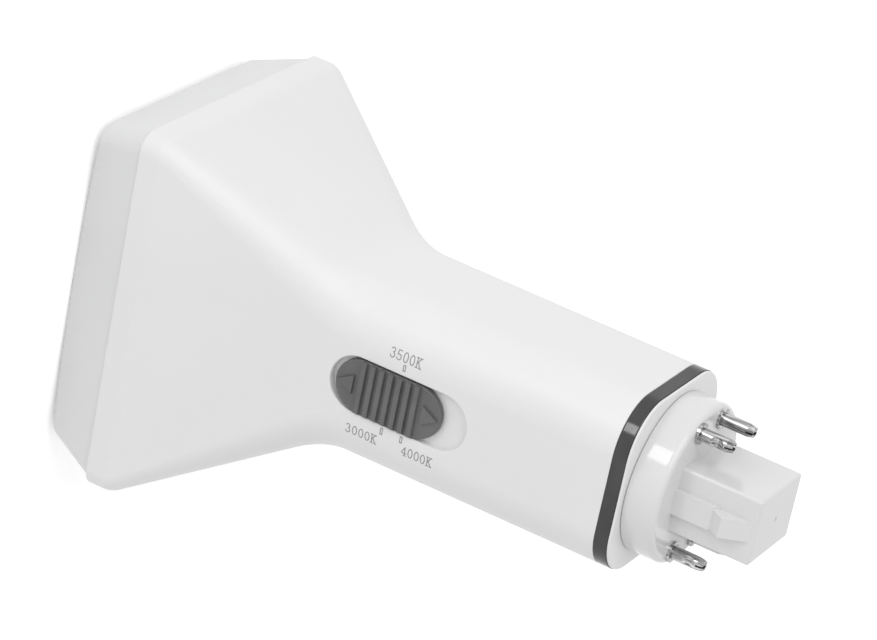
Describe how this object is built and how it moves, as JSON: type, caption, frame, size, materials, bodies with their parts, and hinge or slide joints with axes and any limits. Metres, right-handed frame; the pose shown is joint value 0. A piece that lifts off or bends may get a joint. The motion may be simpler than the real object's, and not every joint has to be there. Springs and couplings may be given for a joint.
{
  "type": "led plug-in lamp",
  "caption": "Plug-in LED lamp with a rectangular flared head, a square neck with a slide selector for the light colour, and a pinned push-in base.",
  "frame": {"origin": "under the middle of the crowned diffuser, at the lowest point", "axes": "+Z along the lamp towards the contact pins, X along the long side of the head, the selector faces -Y"},
  "size_m": [0.0692, 0.0576, 0.1284],
  "materials": {
    "white_gloss": "gloss",
    "white_base": "satin",
    "diffuser_white": "satin",
    "dark_chrome": "polished",
    "pin_nickel": "polished",
    "grey_plastic": "satin",
    "black_plastic": "satin",
    "switch_steel": "satin",
    "spreader_aluminium": "satin",
    "white_mask": "matte",
    "phosphor": "satin",
    "screw_steel": "satin",
    "green_board": "satin",
    "ferrite": "matte",
    "yellow_tape": "gloss",
    "can_aluminium": "satin",
    "blue_resin": "gloss",
    "wire_red": "satin",
    "wire_black": "satin",
    "wire_white": "satin"
  },
  "bodies": {
    "lamp": {"board_connector": "white_base", "board_screws": "screw_steel", "bridge_rectifier": "black_plastic", "bulk_capacitor": "can_aluminium", "choke": "ferrite", "contact_pin_1": "pin_nickel", "contact_pin_2": "pin_nickel", "contact_pin_3": "pin_nickel", "contact_pin_4": "pin_nickel", "controller_chip": "black_plastic", "diffuser": "diffuser_white", "driver_board": "green_board", "end_cap": "white_gloss", "film_capacitor": "yellow_tape", "heat_spreader": "spreader_aluminium", "housing": "white_gloss", "input_fuse": "green_board", "lead_common": "wire_black", "lead_cool": "wire_white", "lead_warm": "wire_red", "led_board": "white_mask", "led_chips": "phosphor", "output_capacitor": "can_aluminium", "pin_lead_1": "wire_white", "pin_lead_2": "wire_black", "pin_lead_3": "wire_white", "pin_lead_4": "wire_black", "plug_base": "white_base", "power_transistor": "black_plastic", "slide_switch_body": "switch_steel", "surge_varistor": "blue_resin", "transformer_core": "ferrite", "transformer_winding": "yellow_tape", "trim_ring": "dark_chrome"},
    "selector": {"switch_knob": "grey_plastic", "slide_switch_lever": "black_plastic"}
  },
  "joints": [
    {"name": "selector_slide", "type": "slide", "parent": "lamp", "child": "selector", "axis": [0, 0, 1], "range_m": [0, 0.004]}
  ]
}
